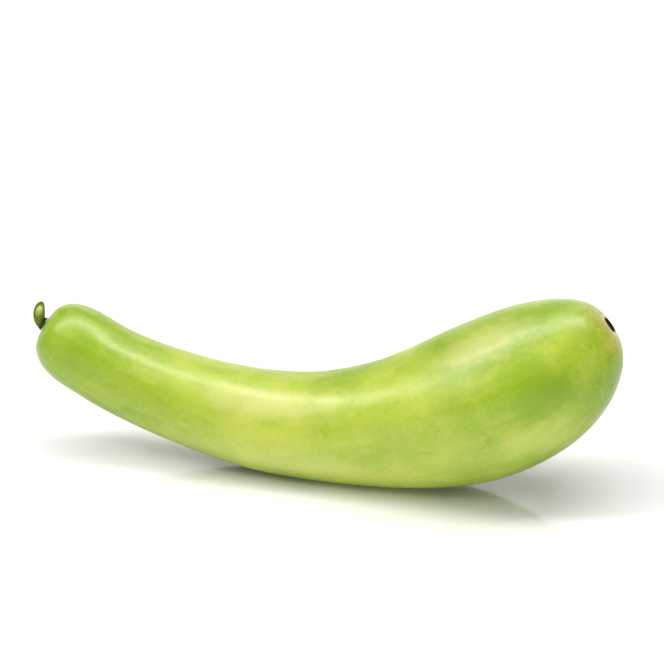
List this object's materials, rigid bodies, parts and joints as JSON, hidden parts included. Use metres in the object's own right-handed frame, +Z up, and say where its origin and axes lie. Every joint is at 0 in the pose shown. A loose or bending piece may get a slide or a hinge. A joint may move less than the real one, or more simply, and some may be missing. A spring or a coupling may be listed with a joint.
{
  "type": "bottle gourd",
  "caption": "Whole long bottle gourd with a thin neck, a fat blossom end and a short cut stem, bent, lying on a small flat spot.",
  "frame": {"origin": "on the surface that the gourd lies on, in the middle of its outline seen from above", "axes": "+X from the thin neck with the stem to the fat blossom end, +Z up, and the viewer of the picture looks roughly along +Y"},
  "size_m": [0.3308, 0.087, 0.1096],
  "materials": {
    "skin": "satin",
    "stem": "matte",
    "scar": "matte"
  },
  "bodies": {
    "root": {"fruit": "skin", "stem": "stem", "blossom_scar": "scar"}
  },
  "joints": []
}
